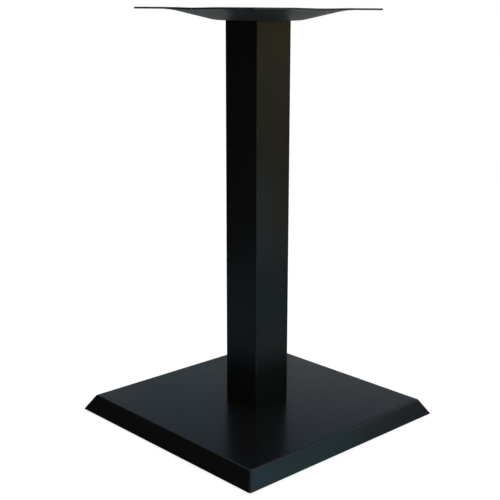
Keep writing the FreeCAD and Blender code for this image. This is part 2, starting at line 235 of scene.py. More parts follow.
# %% Soft lamps
LAMP_WATTS = 26


def soft_lamp(name, place, aim, side):
    """Hang one large square lamp."""
    data = bpy.data.lights.new(name, "AREA")
    data.shape = "SQUARE"
    data.size = side
    data.energy = LAMP_WATTS
    lamp = new_object(name, data)
    facing = (Vector(aim) - Vector(place)).to_track_quat("-Z", "Y").to_matrix().to_4x4()
    lamp.matrix_world = Matrix.Translation(place) @ facing
    return lamp


lamps = [
    soft_lamp("right_softbox", place=(2.2, 1.2, 1.9), aim=(0.0, 0.0, 0.4), side=1.6),
    soft_lamp("top_softbox", place=(-0.3, 0.2, 2.6), aim=(0.0, 0.0, 0.0), side=2.0),
]
print("lamps", [lamp.name for lamp in lamps])


# %% [markdown]
# One face of the column is nearly black in the picture and the other is grey, though both carry
# the same coat. A dark surface shows its surroundings, so a photographer stands cards and cloths
# round a black object. The cards here do that work. They are studio gear that only mirrors see:
# the camera looks past them and they throw no shadow.

# %% Cards that only mirrors see
MAT_LIFT = 0.001


def card(name, tone, width, height, matrix, glow=0.0):
    """Make one matt card that shows only in reflections; where it glows, it paints a bright reflection and
    lights nothing.
    """
    sheet = plain_sheet(name, width, height, matrix)
    sheet.visible_camera = sheet.visible_diffuse = sheet.visible_shadow = False
    paint, _, shader = start_material(name)
    shader.inputs["Base Color"].default_value = (*tone, 1.0)
    shader.inputs["Roughness"].default_value = 1.0
    shader.inputs["Specular IOR Level"].default_value = 0.0
    # The glow is painted reflection: mirrors see it, and it lights nothing.
    shader.inputs["Emission Color"].default_value = (*tone, 1.0)
    shader.inputs["Emission Strength"].default_value = glow
    sheet.data.materials.append(paint)
    return sheet


def toward(bearing):
    """Give the level direction at a bearing in degrees from straight behind the object."""
    behind = Vector((-math.sin(CAMERA_TURN), math.cos(CAMERA_TURN), 0))
    return Matrix.Rotation(math.radians(bearing), 3, "Z") @ behind


def standing_card(name, tone, bearing, distance, width, foot, head, glow=0.0):
    """Stand a card round the object, facing it."""
    away = toward(bearing)
    place = away * distance + Vector((0, 0, (foot + head) / 2))
    facing = (-away).to_track_quat("Z", "Y").to_matrix().to_4x4()
    return card(name, tone, width, head - foot, Matrix.Translation(place) @ facing, glow)


def floor_mat(name, tone, bearing, distance, width, depth):
    """Lay a card just above the floor beside the object."""
    place = toward(bearing) * distance + Vector((0, 0, MAT_LIFT))
    turn = Matrix.Rotation(CAMERA_TURN + math.radians(bearing), 4, "Z")
    return card(name, tone, width, depth, Matrix.Translation(place) @ turn)


# %% [markdown]
# A black cloth on the left blackens that side in reflections. Pale cards behind whiten the top of
# the base, a little less in the middle, where the picture shows it darker beside the column: the
# darker middle card paints that shade. On the right stands a warm wall, which the column mirrors,
# under a bluish glowing card, the painted reflection of a softbox. The bevel would mirror that
# wall too, but the picture shows it cool from end to end. It lies low and looks up, so low cool
# cards close to the base fill its view, and the upper column looks over them. The glow of these
# cards, of the wall's top and of the low back card is painted reflection and lights nothing. Mats
# dull the floor where the column's lower part mirrors it: cool ones near the base, a warm one
# beyond. Bearings count from straight behind the object, and lengths are metres.

# %% Set the cards round the object
cards = [
    # name, tone, bearing, distance, width, foot, head and, where a card paints a bright reflection, its glow
    standing_card("black_cloth", (0.01, 0.01, 0.01), 95, 1.15, 3.4, 0.0, 1.6),
    # Glows a little: a painted reflection on the top of the base that lights nothing.
    standing_card("low_back_card", (0.93, 1.0, 1.0), 0, 2.0, 4.0, 0.0, 0.84, 0.08),
    # Darker than the cards round it: a painted shade on the base beside the column.
    standing_card("middle_shade_card", (0.66, 0.80, 0.84), 6, 1.97, 0.6, 0.0, 0.84),
    standing_card("high_back_card", (0.24, 0.36, 0.54), 0, 2.0, 4.0, 0.84, 2.6),
    # Glows and lights nothing: the painted reflection of a softbox.
    standing_card("softbox_reflection_card", (0.40, 0.82, 1.0), -90, 1.7, 2.4, 0.95, 1.6, 2.0),
    standing_card("warm_wall", (0.98, 0.90, 0.56), -90, 1.7, 2.4, 0.36, 0.95),
    # Glows and lights nothing: a painted warm reflection on the column.
    standing_card("warm_wall_top", (1.0, 0.87, 0.34), -90, 1.69, 0.5, 0.58, 0.95, 0.4),
    standing_card("warm_wall_foot", (0.68, 0.58, 0.28), -90, 1.7, 2.4, 0.0, 0.36),
    # These two glow and light nothing: painted cool reflections on the bevel.
    standing_card("cool_front_card", (0.44, 0.80, 0.92), -124, 0.56, 0.55, 0.0, 0.36, 1.0),
    standing_card("cool_corner_card", (0.40, 0.78, 1.0), -134, 0.55, 0.22, 0.0, 0.36, 1.6),
    standing_card("cool_side_card", (0.44, 0.65, 0.82), -90, 0.56, 0.5, 0.0, 0.15),
    # name, tone, bearing, distance, width and depth
    floor_mat("left_mat", (0.19, 0.28, 0.33), 95, 0.6925, 2.0, 0.915),
    floor_mat("right_mat", (0.45, 0.60, 0.60), -90, 0.6575, 2.0, 0.845),
    floor_mat("warm_mat", (0.57, 0.52, 0.36), -90, 1.38, 2.0, 0.6),
    floor_mat("front_mat", (0.25, 0.28, 0.30), 180, 1.3, 1.2, 1.8),
    floor_mat("back_mat", (0.62, 0.62, 0.62), 0, 1.25, 1.3, 1.5),
]
print("cards", [sheet.name for sheet in cards])


# %% [markdown]
# Surface effects return in several finishes, so each is a node group with its sizes as inputs,
# and each finish sets its own values. A group gives out plain numbers that change over the
# surface, and the finish decides what they mean for its colour, gloss or relief.

# %% Start a shared effect
def new_group(name, inputs, outputs, kind="ShaderNodeTree"):
    """Start a node group with float inputs and float outputs."""
    group = bpy.data.node_groups.new(name, kind)
    for label, value in inputs.items():
        group.interface.new_socket(label, in_out="INPUT", socket_type="NodeSocketFloat").default_value = value
    for label in outputs:
        group.interface.new_socket(label, in_out="OUTPUT", socket_type="NodeSocketFloat")
    return group, group.nodes.new("NodeGroupInput").outputs, group.nodes.new("NodeGroupOutput").inputs


# %% [markdown]
# Every effect reads the piece's own coordinates in metres, so the marks stick to the metal and
# keep their real size. Marks are noises, and a mask is the part of a noise between two limits.

# %% Noises and masks
def own_place(tree, stretch=(1.0, 1.0, 1.0)):
    """Give the piece's own coordinates, stretched along its axes."""
    place = tree.nodes.new("ShaderNodeTexCoord")
    scaled = tree.nodes.new("ShaderNodeMapping")
    scaled.inputs["Scale"].default_value = stretch
    tree.links.new(place.outputs["Object"], scaled.inputs["Vector"])
    return scaled.outputs["Vector"]


def noise(tree, place, scale, detail=2.0, distortion=0.0):
    """Add a noise from 0 to 1."""
    node = tree.nodes.new("ShaderNodeTexNoise")
    tree.links.new(place, node.inputs["Vector"])
    connect(tree, scale, node.inputs["Scale"])
    node.inputs["Detail"].default_value = detail
    node.inputs["Distortion"].default_value = distortion
    return node.outputs["Fac"]


def steep(tree, value, low, high):
    """Turn the part of a value between two limits into a mask from 0 to 1."""
    node = tree.nodes.new("ShaderNodeMapRange")
    node.interpolation_type = "SMOOTHSTEP"
    connect(tree, value, node.inputs["Value"])
    connect(tree, low, node.inputs["From Min"])
    connect(tree, high, node.inputs["From Max"])
    return node.outputs["Result"]


# %% [markdown]
# Powder coat is plastic dust melted onto the metal. It is smooth to the touch but never a mirror:
# it keeps a slight orange peel, about two millimetres from hill to hill, and its gloss drifts a
# little over a large face. The same effect, much finer, makes the skin of moulded nylon.

# %% Orange peel of a melted coat
def make_orange_peel():
    """Hills of a melted coat: a height, and a gloss that drifts over the face."""
    sizes = {"Hill Scale": 500.0, "Drift Scale": 7.0, "Drift": 0.04, "Gloss": 0.3}
    group, given, result = new_group("orange_peel", sizes, ["Height", "Roughness"])
    place = own_place(group)
    group.links.new(noise(group, place, given["Hill Scale"]), result["Height"])
    drift = sum_of(group, "SUBTRACT", noise(group, place, given["Drift Scale"], detail=3.0), 0.5)
    rough = sum_of(group, "MULTIPLY_ADD", drift, given["Drift"], given["Gloss"])
    group.links.new(rough, result["Roughness"])
    return group


ORANGE_PEEL = make_orange_peel()
print("effect", ORANGE_PEEL.name)


# %% [markdown]
# The weight under the cover is cast in sand, and the sand prints itself on the iron: a fine grain
# with deeper pits where a lump fell out. Bare iron also begins to rust in patches. The effect
# gives a height for the relief and a mask that says where rust begins.

# %% Skin of a sand casting
PITS_BETWEEN = (0.62, 0.74)
PIT_DEPTH = 0.8
RUST_HIGH, RUST_FADE = 0.8, 0.2


def make_sand_grain():
    """Skin of a sand casting: grain with deeper pits, and a mask of where rust begins."""
    sizes = {"Grain Scale": 900.0, "Pit Scale": 160.0, "Rust Scale": 22.0, "Rust": 0.2}
    group, given, result = new_group("sand_grain", sizes, ["Height", "Rust"])
    place = own_place(group)
    grain = noise(group, place, given["Grain Scale"], detail=4.0)
    lumps = noise(group, place, given["Pit Scale"], distortion=0.4)
    pits = steep(group, lumps, *PITS_BETWEEN)
    group.links.new(sum_of(group, "MULTIPLY_ADD", pits, -PIT_DEPTH, grain), result["Height"])
    begin = sum_of(group, "SUBTRACT", RUST_HIGH, given["Rust"])
    end = sum_of(group, "ADD", begin, RUST_FADE)
    patches = noise(group, place, given["Rust Scale"], detail=5.0, distortion=0.8)
    group.links.new(steep(group, patches, begin, end), result["Rust"])
    return group


SAND_GRAIN = make_sand_grain()
print("effect", SAND_GRAIN.name)


# %% [markdown]
# Cold-rolled sheet keeps the long fine lines of the rolls, and the press leaves a film of oil on
# it. The lines are one noise, about a hundred times longer along X than across. The film is a
# soft mask.

# %% Lines of rolled sheet
LINE_STRETCH = (25.0, 2400.0, 2400.0)
FILM_BETWEEN = (0.42, 0.62)


def make_drawn_lines():
    """Long fine lines left by rolling or drawing along X, with a film of oil in patches."""
    sizes = {"Line Scale": 1.0, "Film Scale": 30.0}
    group, given, result = new_group("drawn_lines", sizes, ["Height", "Film"])
    lines = noise(group, own_place(group, LINE_STRETCH), given["Line Scale"], detail=3.0)
    group.links.new(lines, result["Height"])
    film = noise(group, own_place(group), given["Film Scale"], distortion=1.2)
    group.links.new(steep(group, film, *FILM_BETWEEN), result["Film"])
    return group


DRAWN_LINES = make_drawn_lines()
print("effect", DRAWN_LINES.name)


# %% [markdown]
# Zinc plating comes out of the bath with a cloudy bloom, bluish in one place and straw in
# another, over a fine frosting. Clouds change the colour and the frosting changes the gloss.

# %% Bloom of zinc plating
CLOUDS_BETWEEN = (0.35, 0.7)


def make_zinc_bloom():
    """Cloudy bloom of a plated finish, with fine frosting."""
    sizes = {"Cloud Scale": 140.0, "Frost Scale": 2500.0}
    group, given, result = new_group("zinc_bloom", sizes, ["Clouds", "Frost"])
    place = own_place(group)
    clouds = noise(group, place, given["Cloud Scale"], detail=4.0, distortion=1.5)
    group.links.new(steep(group, clouds, *CLOUDS_BETWEEN), result["Clouds"])
    group.links.new(noise(group, place, given["Frost Scale"]), result["Frost"])
    return group


ZINC_BLOOM = make_zinc_bloom()
print("effect", ZINC_BLOOM.name)


# %% [markdown]
# A finish is one Principled shader with an effect on its colour, its roughness and its relief.
# These helpers put a shared effect in a material, turn a height into relief of a real depth, and
# go from one number or colour to another where a mask rises.

# %% Helpers for finishes
def place_group(tree, group, **values):
    """Put a shared effect in a material with its own values."""
    node = tree.nodes.new("ShaderNodeGroup")
    node.node_tree = group
    for label, value in values.items():
        node.inputs[label.replace("_", " ")].default_value = value
    return node.outputs


def bump(tree, height, depth, strength=1.0):
    """Turn a height from 0 to 1 into relief of a given depth in metres."""
    node = tree.nodes.new("ShaderNodeBump")
    node.inputs["Strength"].default_value = strength
    node.inputs["Distance"].default_value = depth
    tree.links.new(height, node.inputs["Height"])
    return node.outputs["Normal"]


def blend_number(tree, mask, plain, marked):
    """Go from one number to another where a mask rises."""
    return sum_of(tree, "MULTIPLY_ADD", mask, marked - plain, plain)


def blend_colour(tree, mask, plain, marked):
    """Go from one colour to another where a mask rises."""
    node = tree.nodes.new("ShaderNodeMix")
    node.data_type = "RGBA"
    node.inputs["A"].default_value = (*plain, 1.0)
    node.inputs["B"].default_value = (*marked, 1.0)
    tree.links.new(mask, node.inputs["Factor"])
    return node.outputs["Result"]


# %% [markdown]
# The coat is almost black itself, and what reads as grey on the real leg is the room in it. Its
# film is satin, so it mirrors only part of what a clear varnish would; that share is the weight
# of the coat layer, and it rises a little on the hills of the orange peel and falls between them.
# The top plate is more matt than the column and the base, and its colour is painted a little
# paler: its underside looks soft and grey in the picture where the others look dark and glossy,
# and that grey is a sheen of light at a grazing view, painted here into the colour.

# %% Black powder coat
COAT_DARK = (0.0026, 0.0028, 0.0031)
COAT_PALE = (0.0040, 0.0042, 0.0045)
PEEL_SHARE = 0.16


def make_black_coat(name, gloss, painted_sheen_share, mirror_share):
    """Black powder coat: the gloss is its roughness, and the painted sheen share makes its colour paler, as a
    painted sheen.
    """
    material, tree, shader = start_material(name)
    peel = place_group(tree, ORANGE_PEEL, Hill_Scale=480.0, Drift_Scale=6.0, Drift=0.06, Gloss=gloss)
    dark, pale = ([painted_sheen_share * part for part in tone] for tone in (COAT_DARK, COAT_PALE))
    tone = blend_colour(tree, peel["Height"], dark, pale)
    tree.links.new(tone, shader.inputs["Base Color"])
    tree.links.new(peel["Roughness"], shader.inputs["Roughness"])
    shader.inputs["Specular IOR Level"].default_value = 0.0
    dip, hill = (mirror_share * (1 + side * PEEL_SHARE / 2) for side in (-1, 1))
    tree.links.new(blend_number(tree, peel["Height"], dip, hill), shader.inputs["Coat Weight"])
    shader.inputs["Coat Roughness"].default_value = gloss
    relief = bump(tree, peel["Height"], depth=0.00002, strength=0.35)
    tree.links.new(relief, shader.inputs["Normal"])
    return material


SATIN_COAT = make_black_coat("black_powder_coat", gloss=0.24, painted_sheen_share=1.0, mirror_share=0.33)
# The plate's coat is paler in colour: a painted sheen of grazing light.
MATT_COAT = make_black_coat("black_powder_coat_pressed", gloss=0.40, painted_sheen_share=4.5, mirror_share=0.36)
print("coats", SATIN_COAT.name, MATT_COAT.name)


# %% [markdown]
# The casting is never seen in a room, so it stays as it came from the foundry: dark grey, rough,
# with a first breath of rust. Rust is duller than iron, so the same mask also raises roughness.

# %% Raw cast iron
IRON_GREY = (0.070, 0.071, 0.075)
RUST_BROWN = (0.120, 0.062, 0.034)
IRON_METALLIC = 0.6
ROUGH_IRON, ROUGH_RUST = 0.6, 0.8


def make_cast_iron():
    """Raw sand casting, dark grey, with a first breath of rust."""
    material, tree, shader = start_material("raw_cast_iron")
    grain = place_group(tree, SAND_GRAIN, Grain_Scale=900.0, Pit_Scale=170.0, Rust_Scale=20.0, Rust=0.22)
    tree.links.new(blend_colour(tree, grain["Rust"], IRON_GREY, RUST_BROWN), shader.inputs["Base Color"])
    shader.inputs["Metallic"].default_value = IRON_METALLIC
    tree.links.new(blend_number(tree, grain["Rust"], ROUGH_IRON, ROUGH_RUST), shader.inputs["Roughness"])
    tree.links.new(bump(tree, grain["Height"], depth=0.0003), shader.inputs["Normal"])
    return material


CAST_IRON = make_cast_iron()
print("finish", CAST_IRON.name)


# %% [markdown]
# The two pans that hold the column are pressed from sheet and left bare, with a thin film of oil
# against rust. Where the film lies, the metal is browner and smoother.

# %% Oiled steel sheet
BARE_STEEL = (0.44, 0.45, 0.46)
OILY_STEEL = (0.34, 0.33, 0.30)
ROUGH_BARE, ROUGH_OILY = 0.42, 0.28


def make_oiled_sheet():
    """Bare cold-rolled sheet under a thin oil film."""
    material, tree, shader = start_material("oiled_steel_sheet")
    lines = place_group(tree, DRAWN_LINES, Line_Scale=1.0, Film_Scale=34.0)
    tree.links.new(blend_colour(tree, lines["Film"], BARE_STEEL, OILY_STEEL), shader.inputs["Base Color"])
    shader.inputs["Metallic"].default_value = 1.0
    tree.links.new(blend_number(tree, lines["Film"], ROUGH_BARE, ROUGH_OILY), shader.inputs["Roughness"])
    tree.links.new(bump(tree, lines["Height"], depth=0.00004, strength=0.6), shader.inputs["Normal"])
    return material


OILED_SHEET = make_oiled_sheet()
print("finish", OILED_SHEET.name)


# %% [markdown]
# Rod, studs, nuts, washers, screws and stems are zinc plated. They are the only bright pieces,
# and they are seen only in the dish and under the base.

# %% Bright zinc plating
ZINC_BLUISH = (0.60, 0.63, 0.68)
ZINC_STRAW = (0.66, 0.64, 0.56)
ROUGH_BRIGHT, ROUGH_FROSTED = 0.2, 0.4


def make_zinc_plate():
    """Bright zinc plating, bluish with a faint straw bloom."""
    material, tree, shader = start_material("bright_zinc_plate")
    bloom = place_group(tree, ZINC_BLOOM, Cloud_Scale=150.0, Frost_Scale=2600.0)
    tone = blend_colour(tree, bloom["Clouds"], ZINC_BLUISH, ZINC_STRAW)
    tree.links.new(tone, shader.inputs["Base Color"])
    shader.inputs["Metallic"].default_value = 1.0
    rough = blend_number(tree, bloom["Frost"], ROUGH_BRIGHT, ROUGH_FROSTED)
    tree.links.new(rough, shader.inputs["Roughness"])
    tree.links.new(bump(tree, bloom["Frost"], depth=0.00002, strength=0.5), shader.inputs["Normal"])
    return material


ZINC_PLATE = make_zinc_plate()
print("finish", ZINC_PLATE.name)


# %% [markdown]
# The foot pads are black nylon. Their mould was sparked, not polished, which leaves an even grain
# finer than any coat.

# %% Black nylon
NYLON_DARK = (0.016, 0.016, 0.017)
NYLON_PALE = (0.026, 0.026, 0.027)


def make_black_nylon():
    """Black nylon with the even grain of a sparked mould."""
    material, tree, shader = start_material("black_nylon")
    skin = place_group(tree, ORANGE_PEEL, Hill_Scale=1900.0, Drift_Scale=60.0, Drift=0.12, Gloss=0.5)
    tree.links.new(blend_colour(tree, skin["Height"], NYLON_DARK, NYLON_PALE), shader.inputs["Base Color"])
    tree.links.new(skin["Roughness"], shader.inputs["Roughness"])
    tree.links.new(bump(tree, skin["Height"], depth=0.00006, strength=0.8), shader.inputs["Normal"])
    return material


BLACK_NYLON = make_black_nylon()
print("finish", BLACK_NYLON.name)


# %% [markdown]
# Every piece of the model gets the finish of its own slot in the record, so a piece that keeps
# its engineering shape is dressed too. Only the material changes, never the shape or the place.

# %% Dress the model's own pieces
FINISHES = {
    "black_coat": SATIN_COAT,
    "cast_iron": CAST_IRON,
    "pressed_steel": OILED_SHEET,
    "plated_steel": ZINC_PLATE,
    "foot_plastic": BLACK_NYLON,
}
slot_of = {row["node"]: row["material_slot"] for row in frame["record"]["subparts"]}
for node, piece in frame["nodes"].items():
    piece.data.materials.clear()
    piece.data.materials.append(FINISHES[slot_of[node]])
print("dressed", len(slot_of), "pieces")


# %% [markdown]
# A finished piece is a plain mesh that rides on its body and stands in for its piece of the model.
# Corners of the model's loose triangles are joined, so that bends are shaded round while real
# edges stay sharp: a chamfer of 30 degrees is an edge, and the small steps along a bend are not.

# %% Keep, shade and tie a piece
SHARP_OVER = math.radians(26)
SAME_POINT = 1e-5


def keep_result(piece):
    """Replace a piece's mesh and modifiers by what they make together."""
    bpy.context.view_layer.update()
    result = piece.evaluated_get(bpy.context.evaluated_depsgraph_get())
    piece.data = bpy.data.meshes.new_from_object(result)
    piece.modifiers.clear()


def shade_round(mesh):
    """Join the corners of loose triangles and shade all but the sharp edges round."""
    shape = bmesh.new()
    shape.from_mesh(mesh)
    bmesh.ops.remove_doubles(shape, verts=shape.verts, dist=SAME_POINT)
    for face in shape.faces:
        face.smooth = True
    for edge in shape.edges:
        edge.smooth = edge.is_manifold and edge.calc_face_angle() < SHARP_OVER
    shape.to_mesh(mesh)
    shape.free()


def settle(piece, body, *nodes):
    """Tie a finished piece to its body and hide the piece of the model it stands in for."""
    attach(piece, body)
    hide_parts(*nodes)


# %% [markdown]
# A pressed or folded sheet has round bends, and light runs over them without a step. The cover,
# the tube and the pans get a copy that is shaded so, and flat faces stay flat because large faces
# weigh more in the shading. The casting's rounded edges and the plain nuts and washers are done
# in the same way, since their shape is already right.

# %% Smooth copies of sheet, casting, nuts and washers
ROUNDED = ("base_cover", "column_tube", "lower_locator", "upper_locator", "base_ballast")
PLAIN_FASTENERS = ("upper_washer", "lower_washer", "stud_washers", "upper_nut", "lower_nut", "stud_nuts")


def smooth_copy(node):
    """Stand a round-shaded copy in for a piece of the model."""
    piece = new_object(node + "_smooth", frame["nodes"][node].data.copy())
    shade_round(piece.data)
    weigh = piece.modifiers.new("weigh", "WEIGHTED_NORMAL")
    weigh.keep_sharp = True
    keep_result(piece)
    settle(piece, "leg", node)
    return piece


for node in ROUNDED + PLAIN_FASTENERS:
    piece = smooth_copy(node)
    print(piece.name, len(piece.data.polygons), "faces")


# %% [markdown]
# The next pieces are grown by Geometry Nodes, because their shape is a rule: a dish whose height
# depends on the distance from the middle, and a thread that winds at a steady pitch. A tree has
# named inputs in metres, and each piece sets its own. These helpers start a tree and add nodes
# to it.

# %% Nodes of a shape tree
def new_tree(name, sizes, start=None):
    """Start a tree whose named inputs are lengths in metres, or counts; it may take a start shape."""
    tree = bpy.data.node_groups.new(name, "GeometryNodeTree")
    if start:
        tree.interface.new_socket(start, in_out="INPUT", socket_type="NodeSocketGeometry")
    for label, value in sizes.items():
        kind = "NodeSocketInt" if isinstance(value, int) else "NodeSocketFloat"
        tree.interface.new_socket(label, in_out="INPUT", socket_type=kind).default_value = value
    tree.interface.new_socket("Geometry", in_out="OUTPUT", socket_type="NodeSocketGeometry")
    return tree, tree.nodes.new("NodeGroupInput").outputs, tree.nodes.new("NodeGroupOutput").inputs


def add(tree, kind, inputs, **settings):
    """Add one node with its settings; each input is a number, a value or a link."""
    node = tree.nodes.new(kind)
    for name, value in settings.items():
        setattr(node, name, value)
    for label, term in inputs.items():
        connect(tree, term, node.inputs[label])
    return node.outputs


def point(tree, x=0.0, y=0.0, z=0.0):
    """Join three numbers into a vector."""
    return add(tree, "ShaderNodeCombineXYZ", {"X": x, "Y": y, "Z": z})[0]


def own_point(tree):
    """Give the X, Y and Z of each point of a shape."""
    place = add(tree, "GeometryNodeInputPosition", {})[0]
    return add(tree, "ShaderNodeSeparateXYZ", {"Vector": place})


def flat_length(tree, x, y):
    """Give the length of a level step."""
    return add(tree, "ShaderNodeVectorMath", {0: point(tree, x, y)}, operation="LENGTH")["Value"]


def choose(tree, test, otherwise, chosen):
    """Take one of two numbers."""
    terms = {"Switch": test, "False": otherwise, "True": chosen}
    return add(tree, "GeometryNodeSwitch", terms, input_type="FLOAT")[0]


def join_shapes(tree, *shapes):
    """Join shapes into one."""
    node = tree.nodes.new("GeometryNodeJoinGeometry")
    for shape in shapes:
        tree.links.new(shape, node.inputs[0])
    return node.outputs[0]


# %% [markdown]
# Each tree ends in the same way: edges above the sharp angle are marked, copies become real
# faces, and the finish is set. Each piece then runs its tree with its own sizes and keeps the
# plain mesh that comes out.

# %% End a tree and grow a piece
def finish_tree(tree, result, shape, material):
    """Shade round below the sharp angle, realize everything, set the material and end the tree."""
    smooth = add(tree, "GeometryNodeSetShadeSmooth", {"Geometry": shape, "Shade Smooth": True})[0]
    bend = add(tree, "GeometryNodeInputMeshEdgeAngle", {})["Unsigned Angle"]
    sharp = sum_of(tree, "GREATER_THAN", bend, SHARP_OVER)
    crisp = {"Geometry": smooth, "Selection": sharp, "Shade Smooth": False}
    edged = add(tree, "GeometryNodeSetShadeSmooth", crisp, domain="EDGE")[0]
    whole = add(tree, "GeometryNodeRealizeInstances", {"Geometry": edged})[0]
    dressed = add(tree, "GeometryNodeSetMaterial", {"Geometry": whole, "Material": material})[0]
    tree.links.new(dressed, result["Geometry"])


def grow(name, tree, body, *nodes, start=None, **sizes):
    """Run a tree with its own sizes, keep the mesh it makes and tie the piece to the model."""
    piece = new_object(name, start or bpy.data.meshes.new(name))
    maker = piece.modifiers.new("maker", "NODES")
    maker.node_group = tree
    inputs = {row.name: row.identifier for row in tree.interface.items_tree if row.in_out == "INPUT"}
    for label, value in sizes.items():
        maker[inputs[label.replace("_", " ")]] = value
    keep_result(piece)
    settle(piece, body, *nodes)
    print(name, len(piece.data.polygons), "faces")


# %% [markdown]
# The top plate is the piece that takes most skill: a round dish pressed into a square sheet. On
# the real plate a round punch draws the middle down while the corners stay flat, so the height
# depends only on the distance from the middle: a flat floor, a hollow bend, a cone, a bend back
# the other way, and the flat rim. Both bends are true arcs that meet the cone without a kink, and
# each ends where its tangent length runs out.

# %% Rule of the pressed dish
DISH_SIZES = ("Rim Radius", "Floor Radius", "Depth", "Rim Bend", "Floor Bend")


def cone_slope(tree, given):
    """Give the angle of the dish's cone, and the tangent of half of it."""
    run = sum_of(tree, "SUBTRACT", given["Rim Radius"], given["Floor Radius"])
    slope = sum_of(tree, "ARCTAN2", given["Depth"], run)
    return slope, sum_of(tree, "TANGENT", sum_of(tree, "MULTIPLY", slope, 0.5))


def make_dish_rule():
    """Height of the dish's underside at a distance from the middle; the rim is at 0."""
    sizes = dict.fromkeys(("Distance", *DISH_SIZES), 0.0)
    group, given, result = new_group("dish_rule", sizes, ["Height"], "GeometryNodeTree")
    slope, half = cone_slope(group, given)
    level = sum_of(group, "COSINE", slope)
    floor_tangent = sum_of(group, "MULTIPLY", given["Floor Bend"], half)
    rim_tangent = sum_of(group, "MULTIPLY", given["Rim Bend"], half)
    floor_start = sum_of(group, "SUBTRACT", given["Floor Radius"], floor_tangent)
    floor_end = sum_of(group, "MULTIPLY_ADD", floor_tangent, level, given["Floor Radius"])
    rim_end = sum_of(group, "ADD", given["Rim Radius"], rim_tangent)
    rim_start = sum_of(group, "SUBTRACT", given["Rim Radius"], sum_of(group, "MULTIPLY", rim_tangent, level))

    def arc(reach, bend):
        """Distance from the arc's centre line at a reach beyond its start."""
        beyond = sum_of(group, "MAXIMUM", reach, 0.0)
        squares = [sum_of(group, "POWER", side, 2.0) for side in (bend, beyond)]
        return sum_of(group, "SQRT", sum_of(group, "SUBTRACT", *squares))

    hollow = arc(sum_of(group, "SUBTRACT", given["Distance"], floor_start), given["Floor Bend"])
    sagged = sum_of(group, "SUBTRACT", given["Floor Bend"], hollow)
    floor = sum_of(group, "SUBTRACT", sagged, given["Depth"])
    brow = arc(sum_of(group, "SUBTRACT", rim_end, given["Distance"]), given["Rim Bend"])
    rim = sum_of(group, "SUBTRACT", brow, given["Rim Bend"])
    along = sum_of(group, "SUBTRACT", given["Distance"], given["Floor Radius"])
    risen = sum_of(group, "MULTIPLY", along, sum_of(group, "TANGENT", slope))
    cone = sum_of(group, "SUBTRACT", risen, given["Depth"])
    on_floor = sum_of(group, "LESS_THAN", given["Distance"], floor_end)
    on_rim = sum_of(group, "GREATER_THAN", given["Distance"], rim_start)
    group.links.new(choose(group, on_rim, choose(group, on_floor, cone, floor), rim), result["Height"])
    return group


DISH_RULE = make_dish_rule()
print("rule", DISH_RULE.name)


# %% [markdown]
# A square grid, fine enough for a smooth dish, is thickened into a slab. Its corner points are
# then pulled in onto the plate's small corner radius, as a shear and a file would round them. At
# this stage Z only says which face a point is on: 0 below, 1 above.

# %% Slab with rounded corners
def make_slab(tree, given):
    """Lay a fine square grid and thicken it by one metre, which marks the upper face."""
    grid = {"Size X": given["Side"], "Size Y": given["Side"]}
    grid.update({"Vertices X": given["Steps"], "Vertices Y": given["Steps"]})
    sheet = add(tree, "GeometryNodeMeshGrid", grid)["Mesh"]
    raised = {"Mesh": sheet, "Offset": (0.0, 0.0, 1.0), "Offset Scale": 1.0, "Individual": False}
    block = add(tree, "GeometryNodeExtrudeMesh", raised, mode="FACES")["Mesh"]
    under = add(tree, "GeometryNodeFlipFaces", {"Mesh": sheet})[0]
    closed = {"Geometry": join_shapes(tree, under, block), "Distance": SAME_POINT}
    return add(tree, "GeometryNodeMergeByDistance", closed)[0]


def round_corners(tree, given, here):
    """Pull points outside the corner radius onto it; give the new X and Y."""
    less = sum_of(tree, "MULTIPLY", given["Corner Radius"], -1.0)
    corner = sum_of(tree, "MULTIPLY_ADD", given["Side"], 0.5, less)
    out = [sum_of(tree, "ABSOLUTE", here[axis]) for axis in ("X", "Y")]
    kept = [sum_of(tree, "MINIMUM", far, corner) for far in out]
    past = [sum_of(tree, "MAXIMUM", sum_of(tree, "SUBTRACT", far, corner), 0.0) for far in out]
    limit = sum_of(tree, "MAXIMUM", flat_length(tree, *past), given["Corner Radius"])
    pull = sum_of(tree, "DIVIDE", given["Corner Radius"], limit)
    flat = []
    for axis, inner, outer in zip(("X", "Y"), kept, past):
        far = sum_of(tree, "MULTIPLY_ADD", outer, pull, inner)
        flat.append(sum_of(tree, "MULTIPLY", far, sum_of(tree, "SIGN", here[axis])))
    return flat


# %% [markdown]
# The dish rule gives both faces of the sheet. The wall stays equally thick on the slope, so on
# the upper face the hollow bend is smaller by the wall, the brow is larger by it, and both rings
# move in a little.

# %% Press both faces
def face_sizes(tree, given):
    """Sizes of the dish on the underside and on the upper face."""
    shift = sum_of(tree, "MULTIPLY", given["Wall"], cone_slope(tree, given)[1])
    under = {label: given[label] for label in DISH_SIZES}
    over = {"Depth": given["Depth"]}
    over["Rim Radius"] = sum_of(tree, "SUBTRACT", given["Rim Radius"], shift)
    over["Floor Radius"] = sum_of(tree, "SUBTRACT", given["Floor Radius"], shift)
    over["Rim Bend"] = sum_of(tree, "ADD", given["Rim Bend"], given["Wall"])
    over["Floor Bend"] = sum_of(tree, "SUBTRACT", given["Floor Bend"], given["Wall"])
    return under, over


def dish_height(tree, distance, sizes):
    """Ask the dish rule for one face's height at a distance from the middle."""
    rule = tree.nodes.new("GeometryNodeGroup")
    rule.node_tree = DISH_RULE
    for label, term in {"Distance": distance, **sizes}.items():
        tree.links.new(term, rule.inputs[label])
    return rule.outputs["Height"]


# %% [markdown]
# Holes are drilled last, as on the real plate: one for the rod, four on a circle for the pan's
# screws, and four near the corners for the screws that hold the table top.

# %% Drill the holes
DRILL_LENGTH = 0.1
DRILL_SIDES = 48
DIAGONAL = math.radians(45)


